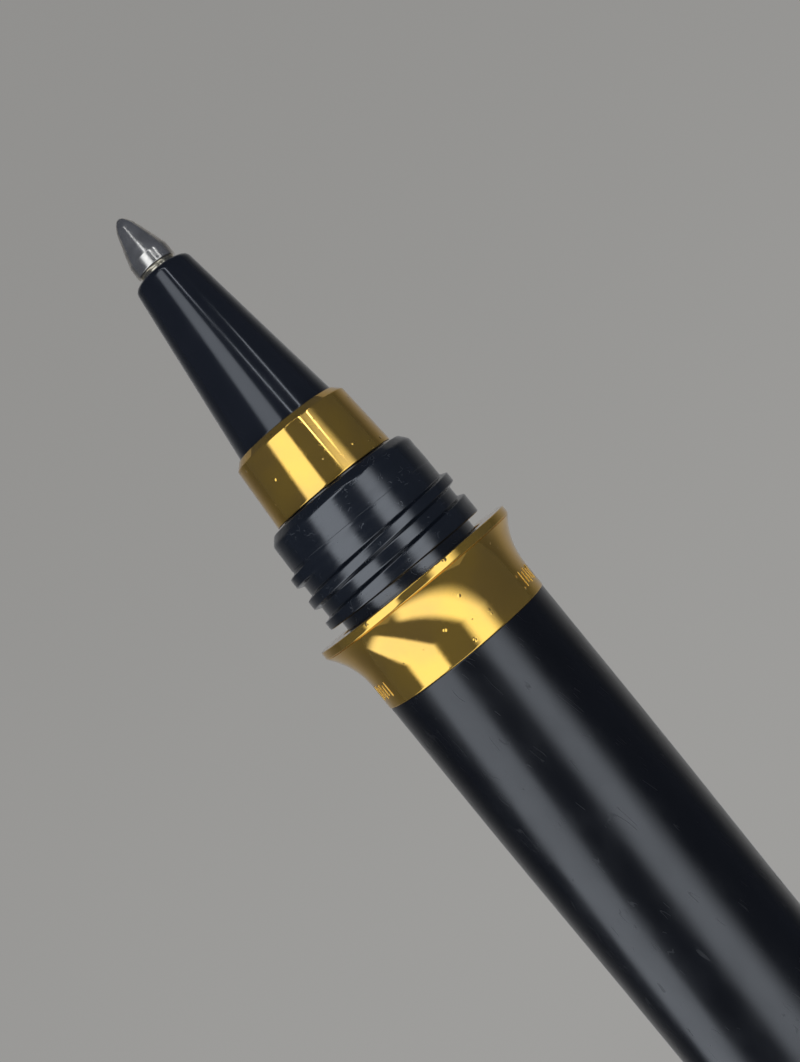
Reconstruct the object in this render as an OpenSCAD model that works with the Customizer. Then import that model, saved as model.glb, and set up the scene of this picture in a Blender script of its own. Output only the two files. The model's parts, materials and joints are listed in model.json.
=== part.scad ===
// Rollerball pen with its cap posted on the tail.
// The pen's axis is Z, the writing point touches the paper at the origin, and +Z runs to the tail.
// All sizes are in millimetres. Round parts are outlines of [radius, height] turned about Z.

/* [Ball and tip] */
// Radius of the rolling ball
ball_r = 0.35; // [0.3:0.05:0.4]
// Radius of the steel tip behind its cone
tip_r = 1.28; // [1.2:0.01:1.3]
// Height where the steel cone ends
tip_cone_z = 2.68; // [2.4:0.02:2.8]
// Height where the steel tip meets its brass holder
tip_end_z = 3.5; // [3.3:0.02:3.6]
// Radius of the brass neck behind the steel tip
neck_r = 1.19; // [1.1:0.01:1.2]

/* [Refill] */
// Length of the refill from ball to end plug
refill_l = 110.5; // [109:0.5:111]
// Radius of the refill's body
refill_r = 3; // [2.9:0.05:3]
// Radius of the slim front of the refill
refill_front_r = 1.6; // [1.5:0.05:1.6]
// Height where the slim front starts to widen
refill_flare_z = 20.4; // [20.4:0.1:21]

/* [Nose and front ring] */
// Height of the nose's front face
nose_z = 3.82; // [3.6:0.02:4]
// Radius of the hole that the refill's neck comes through
nose_hole_r = 1.32; // [1.31:0.01:1.4]
// Radius of the nose behind its rounded front edge
nose_front_r = 1.84; // [1.8:0.01:1.9]
// Radius of the nose where it meets the front ring
nose_back_r = 3.26; // [3.1:0.01:3.3]
// Height where the nose meets the front ring
front_ring_z = 15; // [14.5:0.01:15.2]
// Height where the front ring ends
front_ring_end_z = 19.31; // [19:0.01:19.33]
// Largest radius of the front ring
front_ring_r = 4.05; // [3.9:0.01:4.1]

/* [Thread collar] */
// Radius of the collar in front of its thread
collar_r = 4.95; // [4.85:0.01:4.97]
// Radius over the crest of the cap thread
thread_r = 5.34; // [5.25:0.01:5.36]
// Pitch of the cap thread
thread_pitch = 1.55; // [1.5:0.01:1.6]
// Height where the rear flange starts
flange_z = 25; // [24.9:0.01:25.1]
// Height where the rear flange ends
flange_end_z = 25.56; // [25.5:0.01:25.7]
// Radius of the neck behind the flange
collar_neck_r = 4.59; // [4.5:0.01:4.6]

/* [Barrel] */
// Height of the flared ring's front face
flare_z = 26.19; // [26.1:0.01:26.3]
// Radius of the flared ring's rim
rim_r = 6.59; // [6.4:0.01:6.6]
// Radius of the flared ring behind its flare
flare_back_r = 5.55; // [5.5:0.01:5.58]
// Height where the lacquered barrel starts
barrel_z = 31.05; // [31:0.01:31.4]
// Radius of the barrel's straight front stretch
barrel_r = 5.5; // [5.4:0.01:5.53]
// Length of the straight front stretch
barrel_straight = 10; // [8:1:14]
// Height where the barrel ends
barrel_end_z = 117; // [116.5:0.1:117.5]
// Radius of the barrel's rear end
barrel_end_r = 5.13; // [5.1:0.01:5.15]
// Height of the tail's end
tail_end_z = 124; // [123:0.5:125]

/* [Cap] */
// Height of the cap's mouth while it is posted
cap_z = 99; // [98:0.5:100]
// Length of the cap
cap_l = 62; // [61:0.5:64]
// Radius of the cap at its mouth
cap_r = 6.52; // [6.45:0.01:6.6]
// Radius of the cap below its crown
cap_top_r = 6.3; // [6.3:0.01:6.4]
// Depth of the cap's inner liner
cap_depth = 38; // [34:1:42]

/* [Clip] */
// Width of the pocket clip's arm at its root
clip_w = 2.8; // [2.6:0.1:3.2]
// Distance from the crown's foot to the clip's ball end
clip_reach = 38; // [34:1:40]
// Radius of the ball that ends the clip
clip_ball_r = 1.35; // [1.2:0.05:1.5]

/* [Hidden] */
$fn = 96;

GOLD = [0.85, 0.66, 0.3];
BRASS = [0.75, 0.6, 0.35];
STEEL = [0.72, 0.71, 0.68];
RESIN = [0.05, 0.055, 0.07];
LACQUER = [0.03, 0.035, 0.05];
SLIP = [0.85, 0.85, 0.82];
INK = [0.05, 0.07, 0.3];

// Running clearance between the ball and its socket, and between the refill's neck and body and their bores
ball_gap = 0.012;
tip_lip_z = 0.22;
// The cone swells a little between its lip and its cylinder
cone_front_r = 0.6;
cone_mid_r = 1.04;
cone_mid_z = 1.9;
tip_shank_r = 0.9;
tip_shank_z = 6.5;
ink_duct_r = 0.12;
wick_r = 0.45;
wick_bore_r = 0.5;
wick_end_z = 24;
holder_step_z = 7.5;
holder_end_z = 16;
tube_bore_r = 2.6;
plug_head = 0.9;
plug_spigot = 5;
reservoir_end_z = refill_l - 9;

// Section: the brass core carries the nose, the front ring and the collar
core_front_z = 11;
core_front_r = 2.35;
core_r = 3.7;
core_step_z = 19.7;
core_bore_r = 1.75;
core_rear_bore_r = refill_r + 0.12;
core_thread_r = 3.95;
core_end_z = 37;
collar_front_z = 19.44;
collar_end_z = 28;
nose_shoulder_z = 7.55;
nose_round = 0.42;

// Cap thread: a trapezoid ridge, right-handed, that starts as a ramp and runs into the rear flange
ridge_start_a = -50;
ridge_start_z = 22.07;
ridge_ramp = 40;
ridge_step = 12;
ridge_base = 0.95;
ridge_crest = 0.55;
ridge_crest_r = thread_r - 0.015;
ridge_root_r = collar_r - 0.15;
ridge_turn = 360 * ((flange_z + flange_end_z) / 2 - ridge_start_z) / thread_pitch;

// Barrel: lacquered shell on a brass tube, with a threaded bush behind the flared ring
washer_h = 0.55;
washer_gap = 0.05;
bush_z = collar_end_z + washer_h + 2 * washer_gap;
bush_r = 4.5;
bush_bore_r = core_thread_r + 0.05;
bush_end_z = 37.5;
flare_bore_r = collar_neck_r + 0.08;
flare_tail_z = 35;
flare_tail_r = 5;
tube_r = 4.75;
tube_inner_r = 4.2;
rim_h = 0.55;
barrel_waist_z = 51.5;
barrel_waist_r = 5.4;
flare_straight_z = 29.5;
seat_z = refill_l + 3.6;
seat_h = 2;
stud_r = 1.25;
stud_head_r = 1.9;
stud_head_h = 1.4;
finial_spigot_r = 3;
tail_ring_h = 1.4;
tail_round = 1.6;
spring_wire_r = 0.22;
spring_r = 2.6;
spring_turns = 4;

// Cap: heights below are measured from its mouth
mouth_ring_h = 5.5;
insert_h = 9;
insert_r = 5.95;
insert_bore_r = thread_r + 0.08;
liner_bore_r = 5.25;
liner_end = 1.5;
crown_h = 54;
crown_ring_h = 4.5;
crown_plate_h = 2.5;
crown_stud_r = 1.2;
crown_head_r = 2.6;
crown_head_h = 1.2;
crown_round = 0.9;
crown_z = cap_z + crown_h;
finial_z = crown_z + crown_ring_h;

// Clip: it turns on a cross pin in a slot of the crown ring, on the pen's -Y side
pin_r = 0.5;
pin_gap = 0.03;
pin_l = 7;
pin_y = -4.9;
pin_z = crown_z + 2.4;
lug_w = 2.4;
slot_w = 2.6;
slot_floor_y = -3.3;
clip_t = 0.8;
clip_y = -cap_r - 1.25;
clip_tip_w = 1.8;
leaf_t = 0.2;

// Points along an arc, from angle a0 to a1 in n steps
function arc(c, r, a0, a1, n = 8) =
    [for (i = [0:n]) [c[0] + r * cos(a0 + (a1 - a0) * i / n), c[1] + r * sin(a0 + (a1 - a0) * i / n)]];

// A solid turned about Z from an outline of [radius, height] points
module turned(outline) {
    rotate_extrude() polygon(outline);
}

// A straight tube between two heights
module tube(outer, inner, z0, z1) {
    turned([[inner, z0], [outer, z0], [outer, z1], [inner, z1]]);
}

// A solid swept round Z: each ring is [angle, outline], and every outline has the same number of points
module swept(rings) {
    sides = len(rings[0][1]);
    last = (len(rings) - 1) * sides;
    points = [for (ring = rings) for (p = ring[1]) [p[0] * cos(ring[0]), p[0] * sin(ring[0]), p[1]]];
    walls = [for (i = [0:len(rings) - 2]) for (j = [0:sides - 1])
        let (k = (j + 1) % sides)
        [i * sides + j, i * sides + k, (i + 1) * sides + k, (i + 1) * sides + j]];
    start_face = [for (j = [0:sides - 1]) sides - 1 - j];
    end_face = [for (j = [0:sides - 1]) last + j];
    polyhedron(points, concat([start_face, end_face], walls));
}

module ball() {
    color(STEEL) translate([0, 0, ball_r]) sphere(r = ball_r);
}

module refill_tip() {
    socket_r = ball_r + ball_gap;
    lip_a = asin((tip_lip_z - ball_r) / socket_r);
    duct_a = acos(ink_duct_r / socket_r);
    color(STEEL) turned(concat(
        arc([0, ball_r], socket_r, duct_a, lip_a, 10),
        [[ball_r + 0.02, tip_lip_z],
         [cone_front_r, 0.6],
         [cone_mid_r, cone_mid_z],
         [tip_r - 0.03, tip_cone_z - 0.06],
         [tip_r, tip_cone_z + 0.04],
         [tip_r, tip_end_z - 0.07],
         [tip_r - 0.06, tip_end_z],
         [tip_shank_r, tip_end_z],
         [tip_shank_r, tip_shank_z],
         [wick_bore_r, tip_shank_z],
         [wick_bore_r, 2],
         [ink_duct_r, 1.6]]));
}

module tip_holder() {
    color(BRASS) turned([
        [tip_shank_r, tip_end_z],
        [neck_r, tip_end_z],
        [neck_r, holder_step_z],
        [refill_front_r, holder_step_z + 0.3],
        [refill_front_r, holder_end_z],
        [wick_bore_r, holder_end_z],
        [wick_bore_r, tip_shank_z],
        [tip_shank_r, tip_shank_z]]);
}

module ink_wick() {
    color(SLIP) translate([0, 0, 2.1]) cylinder(r = wick_r, h = wick_end_z - 2.1);
}

module refill_tube() {
    widen = refill_r - refill_front_r;
    color(SLIP) turned([
        [wick_bore_r, holder_end_z],
        [refill_front_r, holder_end_z],
        [refill_front_r, refill_flare_z],
        [refill_r, refill_flare_z + 1.4 * widen],
        [refill_r, refill_l - plug_head],
        [tube_bore_r, refill_l - plug_head],
        [tube_bore_r, wick_end_z],
        [wick_bore_r, wick_end_z - 0.6]]);
}

module ink_reservoir() {
    color(INK) translate([0, 0, wick_end_z]) cylinder(r = tube_bore_r, h = reservoir_end_z - wick_end_z);
}

module refill_plug() {
    color(INK) turned([
        [0, refill_l - plug_head - plug_spigot],
        [tube_bore_r, refill_l - plug_head - plug_spigot],
        [tube_bore_r, refill_l - plug_head],
        [refill_r, refill_l - plug_head],
        [refill_r, refill_l - 0.3],
        [refill_r - 0.3, refill_l],
        [0, refill_l]]);
}

module nose_cone() {
    color(RESIN) turned(concat(
        [[nose_hole_r, nose_z]],
        arc([nose_front_r - nose_round, nose_z + nose_round], nose_round, -90, -7),
        [[nose_back_r, front_ring_z],
         [core_front_r, front_ring_z],
         [core_front_r, core_front_z],
         [core_bore_r, core_front_z],
         [core_bore_r, nose_shoulder_z],
         [nose_hole_r, nose_shoulder_z]]));
}

module front_ring() {
    chamfer = 0.4;
    front_r = front_ring_r - 0.25;
    color(GOLD) turned([
        [core_front_r, front_ring_z],
        [front_r - chamfer, front_ring_z],
        [front_r, front_ring_z + chamfer],
        [front_ring_r, front_ring_end_z - 0.08],
        [front_ring_r - 0.08, front_ring_end_z],
        [core_front_r, front_ring_end_z]]);
}

// The ridge's outline at an angle past its start: it rises out of the collar, and sinks into the flange
function ridge_ring(a) =
    let (rise = min(1, a / ridge_ramp),
         sunk_r = collar_r - 0.05,
         top = sunk_r + (ridge_crest_r - sunk_r) * rise,
         z = ridge_start_z + thread_pitch * a / 360,
         z_most = flange_end_z - 0.12)
    [ridge_start_a + a,
     [[ridge_root_r, z - ridge_base / 2], [top, z - ridge_crest / 2],
      [top, min(z + ridge_crest / 2, z_most)], [ridge_root_r, min(z + ridge_base / 2, z_most)]]];

module thread_collar() {
    color(RESIN) union() {
        turned([
            [core_front_r, front_ring_end_z + 0.02],
            [3.6, front_ring_end_z + 0.02],
            [3.6, collar_front_z],
            [collar_r - 0.45, collar_front_z],
            [collar_r - 0.28, collar_front_z + 0.09],
            [collar_r, collar_front_z + 0.57],
            [collar_r, flange_z],
            [thread_r - 0.06, flange_z],
            [thread_r, flange_z + 0.06],
            [thread_r, flange_end_z - 0.06],
            [thread_r - 0.06, flange_end_z],
            [collar_neck_r, flange_end_z],
            [collar_neck_r, collar_end_z],
            [core_r, collar_end_z],
            [core_r, core_step_z],
            [core_front_r, core_step_z]]);
        swept([for (i = [0:floor(ridge_turn / ridge_step)]) ridge_ring(i * ridge_step)]);
    }
}

module section_core() {
    bore_z = core_step_z + 0.4;
    color(BRASS) turned([
        [core_bore_r, core_front_z],
        [core_front_r, core_front_z],
        [core_front_r, core_step_z],
        [core_r, core_step_z],
        [core_r, collar_end_z],
        [core_thread_r, collar_end_z],
        [core_thread_r, core_end_z - 0.4],
        [core_thread_r - 0.4, core_end_z],
        [core_rear_bore_r, core_end_z],
        [core_rear_bore_r, bore_z + 1.6],
        [core_bore_r, bore_z]]);
}

module section_washer() {
    color(SLIP) tube(collar_neck_r, bush_bore_r + 0.03,
                     collar_end_z + washer_gap, collar_end_z + washer_gap + washer_h);
}

module flared_ring() {
    rim_z = flare_z + 0.06;
    flare_start_z = rim_z + rim_h;
    drop = flare_straight_z - flare_start_z;
    rise = rim_r - 0.07 - flare_back_r;
    flare_arc_r = (drop * drop + rise * rise) / (2 * rise);
    flare_a = asin(drop / flare_arc_r);
    color(GOLD) turned(concat(
        [[flare_bore_r, flare_z],
         [rim_r - 0.06, flare_z],
         [rim_r, rim_z],
         [rim_r, flare_start_z - 0.05]],
        arc([flare_back_r + flare_arc_r, flare_straight_z], flare_arc_r, 180 + flare_a, 180, 12),
        [[flare_back_r, barrel_z - 0.05],
         [flare_back_r - 0.05, barrel_z],
         [flare_tail_r, barrel_z],
         [flare_tail_r, flare_tail_z],
         [bush_r, flare_tail_z],
         [bush_r, bush_z],
         [flare_bore_r, bush_z]]));
}

module barrel_bush() {
    color(BRASS) tube(bush_r, bush_bore_r, bush_z, bush_end_z);
}

module barrel_shell() {
    color(LACQUER) turned([
        [flare_tail_r, barrel_z],
        [barrel_r, barrel_z],
        [barrel_r, barrel_z + barrel_straight],
        [barrel_waist_r, barrel_waist_z],
        [barrel_end_r, barrel_end_z],
        [tube_r, barrel_end_z],
        [tube_r, flare_tail_z],
        [flare_tail_r, flare_tail_z]]);
}

module barrel_tube() {
    color(BRASS) turned([
        [bush_r, flare_tail_z],
        [tube_r, flare_tail_z],
        [tube_r, barrel_end_z],
        [tube_inner_r, barrel_end_z],
        [tube_inner_r, bush_end_z],
        [bush_r, bush_end_z]]);
}

module refill_spring() {
    low = refill_l + spring_wire_r + 0.02;
    high = seat_z - spring_wire_r - 0.02;
    steps = 20 * spring_turns;
    color(STEEL) swept([for (i = [0:steps])
        [18 * i, arc([spring_r, low + (high - low) * i / steps], spring_wire_r, 0, 300, 5)]]);
}

module spring_seat() {
    color(BRASS) tube(tube_inner_r, stud_r, seat_z, seat_z + seat_h);
}

module finial_stud() {
    color(STEEL) turned([
        [0, seat_z - stud_head_h],
        [stud_head_r - 0.3, seat_z - stud_head_h],
        [stud_head_r, seat_z - stud_head_h + 0.3],
        [stud_head_r, seat_z],
        [stud_r, seat_z],
        [stud_r, tail_end_z - 2],
        [0, tail_end_z - 2]]);
}

module tail_ring() {
    color(GOLD) turned([
        [finial_spigot_r, barrel_end_z],
        [barrel_end_r, barrel_end_z],
        [barrel_end_r + 0.05, barrel_end_z + 0.1],
        [barrel_end_r + 0.05, barrel_end_z + tail_ring_h - 0.1],
        [barrel_end_r, barrel_end_z + tail_ring_h],
        [finial_spigot_r, barrel_end_z + tail_ring_h]]);
}

module tail_finial() {
    base_z = barrel_end_z + tail_ring_h;
    end_r = barrel_end_r - 0.25;
    color(RESIN) turned(concat(
        [[stud_r, seat_z + seat_h],
         [finial_spigot_r, seat_z + seat_h],
         [finial_spigot_r, base_z],
         [barrel_end_r - 0.02, base_z]],
        arc([end_r - tail_round, tail_end_z - tail_round], tail_round, 3, 90),
        [[0, tail_end_z],
         [0, tail_end_z - 2],
         [stud_r, tail_end_z - 2]]));
}

module cap_mouth_ring() {
    z = cap_z;
    color(GOLD) turned([
        [insert_r - 0.2, z],
        [cap_r - 0.15, z],
        [cap_r, z + 0.15],
        [cap_r, z + mouth_ring_h - 0.1],
        [cap_r - 0.1, z + mouth_ring_h],
        [insert_r, z + mouth_ring_h],
        [insert_r, z + 0.3],
        [insert_r - 0.2, z + 0.3]]);
}

module cap_thread_insert() {
    color(BRASS) turned([
        [insert_bore_r + 0.25, cap_z + 0.3],
        [insert_r, cap_z + 0.3],
        [insert_r, cap_z + insert_h],
        [insert_bore_r, cap_z + insert_h],
        [insert_bore_r, cap_z + 0.55]]);
}

module cap_shell() {
    low = cap_z + mouth_ring_h;
    bulge = 0.08;
    steps = 10;
    color(LACQUER) turned(concat(
        [[insert_r, low]],
        [for (i = [0:steps])
            [cap_r - 0.06 + (cap_top_r - cap_r + 0.06) * i / steps + bulge * sin(180 * i / steps),
             low + (crown_z - low) * i / steps]],
        [[insert_r, crown_z]]));
}

module cap_liner() {
    low = cap_z + insert_h;
    high = cap_z + cap_depth;
    color(SLIP) turned([
        [liner_bore_r + 0.2, low],
        [insert_r, low],
        [insert_r, high + liner_end],
        [0, high + liner_end],
        [0, high],
        [liner_bore_r, high],
        [liner_bore_r, low + 0.4]]);
}

module crown_plate() {
    color(BRASS) tube(insert_r, crown_stud_r, crown_z - crown_plate_h, crown_z);
}

module crown_stud() {
    head_z = crown_z - crown_plate_h;
    color(STEEL) turned([
        [0, head_z - crown_head_h],
        [crown_head_r, head_z - crown_head_h],
        [crown_head_r, head_z],
        [crown_stud_r, head_z],
        [crown_stud_r, finial_z + 2],
        [0, finial_z + 2]]);
}

module crown_ring() {
    color(GOLD) difference() {
        turned([
            [crown_stud_r, crown_z],
            [cap_top_r, crown_z],
            [cap_top_r + 0.1, crown_z + 0.1],
            [cap_top_r + 0.1, finial_z - 0.15],
            [cap_top_r - 0.05, finial_z],
            [crown_stud_r, finial_z]]);
        translate([-slot_w / 2, -cap_r - 2, crown_z - 1])
            cube([slot_w, cap_r + 2 + slot_floor_y, crown_ring_h + 2]);
        translate([-pin_l / 2, pin_y, pin_z])
            rotate([0, 90, 0])
                cylinder(r = pin_r, h = pin_l);
    }
}

module clip_pin() {
    color(STEEL) translate([-pin_l / 2, pin_y, pin_z]) rotate([0, 90, 0]) cylinder(r = pin_r, h = pin_l);
}

// A thin spring plate on the floor of the slot, behind the clip's heel
module clip_leaf() {
    color(STEEL) translate([-lug_w / 2, slot_floor_y - leaf_t, crown_z + 0.2])
        cube([lug_w, leaf_t, crown_ring_h - 0.4]);
}

module crown_finial() {
    end_z = cap_z + cap_l;
    face_r = cap_top_r - 0.3 - crown_round;
    color(LACQUER) turned(concat(
        [[crown_stud_r, finial_z],
         [cap_top_r - 0.1, finial_z]],
        arc([face_r, end_z - crown_round], crown_round, 3, 90),
        [[0, end_z],
         [0, finial_z + 2],
         [crown_stud_r, finial_z + 2]]));
}

// The clip's arm seen from the side, as [distance from the axis, height] points from pin to ball
module clip_side() {
    foot_z = crown_z - clip_reach;
    outer = -clip_y;
    polygon([
        [-pin_y - 0.9, pin_z - 0.9],
        [outer - clip_t, pin_z - 0.9],
        [outer - clip_t, pin_z - 2],
        [outer - clip_t, foot_z + 4],
        [outer - clip_t - 0.15, foot_z],
        [outer - 0.15, foot_z],
        [outer, foot_z + 4],
        [outer, pin_z],
        [outer - 0.9, pin_z + 0.9],
        [-pin_y - 0.9, pin_z + 0.9]]);
}

// The clip's arm seen from the front: a lug in the slot, shoulders, and an even taper to the ball
module clip_front() {
    foot_z = crown_z - clip_reach;
    polygon([
        [-clip_tip_w / 2, foot_z],
        [clip_tip_w / 2, foot_z],
        [clip_w / 2, crown_z - 1.5],
        [lug_w / 2, crown_z - 0.1],
        [lug_w / 2, pin_z + 1],
        [-lug_w / 2, pin_z + 1],
        [-lug_w / 2, crown_z - 0.1],
        [-clip_w / 2, crown_z - 1.5]]);
}

module pocket_clip() {
    foot_z = crown_z - clip_reach;
    span = 2 * cap_r;
    color(GOLD) difference() {
        union() {
            intersection() {
                rotate([90, 0, -90]) translate([0, 0, -span / 2]) linear_extrude(span) clip_side();
                rotate([90, 0, 0]) linear_extrude(2 * span) clip_front();
            }
            translate([0, -cap_r - clip_ball_r - 0.06, foot_z]) sphere(r = clip_ball_r);
        }
        translate([-span / 2, pin_y, pin_z])
            rotate([0, 90, 0])
                cylinder(r = pin_r + pin_gap, h = span);
    }
}

ball();
refill_tip();
tip_holder();
ink_wick();
refill_tube();
ink_reservoir();
refill_plug();
nose_cone();
front_ring();
thread_collar();
section_core();
section_washer();
flared_ring();
barrel_bush();
barrel_shell();
barrel_tube();
refill_spring();
spring_seat();
finial_stud();
tail_ring();
tail_finial();
cap_mouth_ring();
cap_thread_insert();
cap_shell();
cap_liner();
crown_plate();
crown_stud();
crown_ring();
crown_finial();
clip_pin();
clip_leaf();
pocket_clip();
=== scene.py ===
import json
import math

import bmesh
import bpy
from mathutils import Euler, Matrix, Vector


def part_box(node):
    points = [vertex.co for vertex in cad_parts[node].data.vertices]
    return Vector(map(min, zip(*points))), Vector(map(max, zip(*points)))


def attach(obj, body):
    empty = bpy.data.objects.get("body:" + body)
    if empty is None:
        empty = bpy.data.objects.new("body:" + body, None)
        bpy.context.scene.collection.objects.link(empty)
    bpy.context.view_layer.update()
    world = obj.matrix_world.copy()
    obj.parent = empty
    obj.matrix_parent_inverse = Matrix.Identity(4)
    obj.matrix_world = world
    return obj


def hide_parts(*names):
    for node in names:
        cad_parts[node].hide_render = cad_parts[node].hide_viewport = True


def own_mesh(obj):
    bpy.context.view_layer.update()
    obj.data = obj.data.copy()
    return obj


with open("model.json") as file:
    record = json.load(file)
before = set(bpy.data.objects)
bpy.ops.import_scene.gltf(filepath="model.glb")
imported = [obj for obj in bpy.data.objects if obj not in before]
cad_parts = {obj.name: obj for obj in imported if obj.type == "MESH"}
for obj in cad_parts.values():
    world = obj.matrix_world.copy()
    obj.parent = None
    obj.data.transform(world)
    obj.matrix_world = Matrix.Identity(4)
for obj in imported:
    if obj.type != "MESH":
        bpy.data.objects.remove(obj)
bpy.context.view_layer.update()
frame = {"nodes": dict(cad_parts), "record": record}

MM = 0.001
SEGMENTS = 256  # sides of a turned piece


# ---------------------------------------------------------------- sizes from the frame

def span(node):
    """(front height, rear height, largest radius) of a turned CAD node."""
    low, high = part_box(node)
    return low.z, high.z, high.x


# ---------------------------------------------------------------- mesh tools

def rounded(corners, steps=6, guard=0.06 * MM):
    """Outline points from corners of (radius, height, rounding).
    Each arc has a guard point on either side, which keeps the long faces' shading true."""
    out = []
    for i, (r, z, rounding) in enumerate(corners):
        corner = Vector((r, z))
        if not rounding:
            out.append((r, z))
            continue
        back = Vector(corners[i - 1][:2]) - corner
        ahead = Vector(corners[(i + 1) % len(corners)][:2]) - corner
        half = back.angle(ahead) / 2
        reach = rounding / math.tan(half)
        room_back, room_ahead = back.length - reach, ahead.length - reach
        back.normalize()
        ahead.normalize()
        centre = corner + (back + ahead).normalized() * rounding / math.sin(half)
        start, end = corner + back * reach - centre, corner + ahead * reach - centre
        turn = -start.angle_signed(end)
        if room_back > 2 * guard:
            out.append(tuple(centre + start + back * guard))
        for step in range(steps + 1):
            a = turn * step / steps
            out.append((centre.x + start.x * math.cos(a) - start.y * math.sin(a),
                        centre.y + start.x * math.sin(a) + start.y * math.cos(a)))
        if room_ahead > 2 * guard:
            out.append(tuple(centre + end + ahead * guard))
    return out


def arc(centre_r, centre_z, radius, start, end, steps):
    """Outline points along an arc, with its angles in degrees from the outward direction."""
    angles = [math.radians(start + (end - start) * i / steps) for i in range(steps + 1)]
    return [(centre_r + radius * math.cos(a), centre_z + radius * math.sin(a)) for a in angles]


def as_object(name, verts, faces, crease=30):
    """A mesh object with outward normals, smooth apart from its real edges."""
    mesh = bpy.data.meshes.new(name)
    mesh.from_pydata(verts, [], faces)
    work = bmesh.new()
    work.from_mesh(mesh)
    bmesh.ops.recalc_face_normals(work, faces=work.faces)
    work.to_mesh(mesh)
    work.free()
    mesh.shade_smooth()
    mesh.set_sharp_from_angle(angle=math.radians(crease))
    made = bpy.data.objects.new(name, mesh)
    bpy.context.scene.collection.objects.link(made)
    return made


def circle_points(r, z, segments):
    turns = [2 * math.pi * j / segments for j in range(segments)]
    return [(r * math.cos(a), r * math.sin(a), z) for a in turns]


def add_rings(verts, outline, segments):
    """Adds one ring of vertices for each outline point, and returns the rings' indices.
    A point on the axis is a single vertex."""
    rings = []
    for r, z in outline:
        if r < 1e-7:
            rings.append([len(verts)] * segments)
            verts.append((0, 0, z))
        else:
            rings.append(list(range(len(verts), len(verts) + segments)))
            verts.extend(circle_points(r, z, segments))
    return rings


def join_rings(faces, a, b):
    """Faces between two rings of equal length, without the corners that coincide."""
    for j in range(len(a)):
        k = (j + 1) % len(a)
        corners = list(dict.fromkeys((a[j], a[k], b[k], b[j])))
        if len(corners) > 2:
            faces.append(corners)


def lathe(name, outline, segments=SEGMENTS, crease=30):
    """A closed solid turned about Z from an outline of (radius, height) points."""
    verts, faces = [], []
    rings = add_rings(verts, outline, segments)
    for i, ring in enumerate(rings):
        join_rings(faces, ring, rings[(i + 1) % len(rings)])
    return as_object(name, verts, faces, crease)


def threaded(name, before, after, root_r, ridge, pitch, low, high, first_z,
             start=0.0, ramp=0.11, turns=None, run_out=0.0, segments=SEGMENTS):
    """A turned solid with a right-handed thread between two heights.
    before and after are the outline's other points. ridge lists (offset along the axis, height)
    over one pitch. start is the thread's start in turns from +X, and ramp is the turns over which
    it rises, and also falls if turns is given. A groove narrower than run_out between the last
    ridge and the upper height is filled."""
    verts, faces = [], []
    front = add_rings(verts, before, segments)
    rear = add_rings(verts, after, segments)
    rows = len(ridge)
    first = math.floor((low - first_z) / pitch) - 2
    last = math.ceil((high - first_z) / pitch) + 2
    tall = max(h for _, h in ridge)
    flat = max(d for d, h in ridge if h > 0.99 * tall)

    def rise(turn):
        share = min(1, max(0, turn / ramp))
        if turns is not None:
            share *= min(1, max(0, (turns - turn) / ramp))
        return share * share * (3 - 2 * share)

    def slope(offset):
        for (d0, h0), (d1, h1) in zip(ridge, ridge[1:] + [(ridge[0][0] + pitch, ridge[0][1])]):
            if d0 <= offset <= d1:
                return h0 + (h1 - h0) * (offset - d0) / max(d1 - d0, 1e-9)
        return 0

    def radius(turn, offset, rib):
        out = root_r + rib * rise(turn)
        behind = turn if offset > 0 else turn - 1
        gap = high - first_z - pitch * behind - flat
        if 0 < gap < 2 * run_out:
            out = max(out, root_r + tall * min(1, 2 - gap / run_out) * rise(behind))
        return out

    def edge(z):
        ring = []
        for j in range(segments):
            shift = j / segments - start
            near = round((z - first_z) / pitch - shift)
            offset = z - first_z - pitch * (near + shift)
            r = radius(near + shift, offset, slope(offset))
            ring.append(len(verts))
            a = 2 * math.pi * j / segments
            verts.append((r * math.cos(a), r * math.sin(a), z))
        return ring

    low_ring, high_ring = edge(low), edge(high)
    grid = []
    for k in range(first, last):
        for offset, rib in ridge:
            row = []
            for j in range(segments):
                turn = k + j / segments - start
                z = first_z + pitch * turn + offset
                if z <= low:
                    row.append(low_ring[j])
                elif z >= high:
                    row.append(high_ring[j])
                else:
                    r = radius(turn, offset, rib)
                    a = 2 * math.pi * j / segments
                    row.append(len(verts))
                    verts.append((r * math.cos(a), r * math.sin(a), z))
            grid.append(row)
    for i in range(len(grid) - 1):
        for j in range(segments):
            if j < segments - 1:
                quad = (grid[i][j], grid[i][j + 1], grid[i + 1][j + 1], grid[i + 1][j])
            elif i + rows + 1 < len(grid):
                quad = (grid[i][j], grid[i + rows][0], grid[i + rows + 1][0], grid[i + 1][j])
            else:
                quad = (grid[i][j], high_ring[0], high_ring[0], grid[i + 1][j])
            corners = list(dict.fromkeys(quad))
            if len(corners) > 2:
                faces.append(corners)
    chain = front + [low_ring]
    for a, b in zip(chain, chain[1:]):
        join_rings(faces, a, b)
    chain = [high_ring] + rear + [front[0]]
    for a, b in zip(chain, chain[1:]):
        join_rings(faces, a, b)
    return as_object(name, verts, faces, crease=35)


def trapezoid(pitch, base, crest, height, rounding):
    """One pitch of a thread's ridge as (offset, height) points, with rounded edges."""
    corners = [(-pitch / 2, 0, 0), (-base / 2, 0, rounding), (-crest / 2, height, rounding),
               (crest / 2, height, rounding), (base / 2, 0, rounding), (pitch / 2, 0, 0)]
    return rounded(corners, steps=3, guard=0.03 * MM)[:-1]


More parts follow.
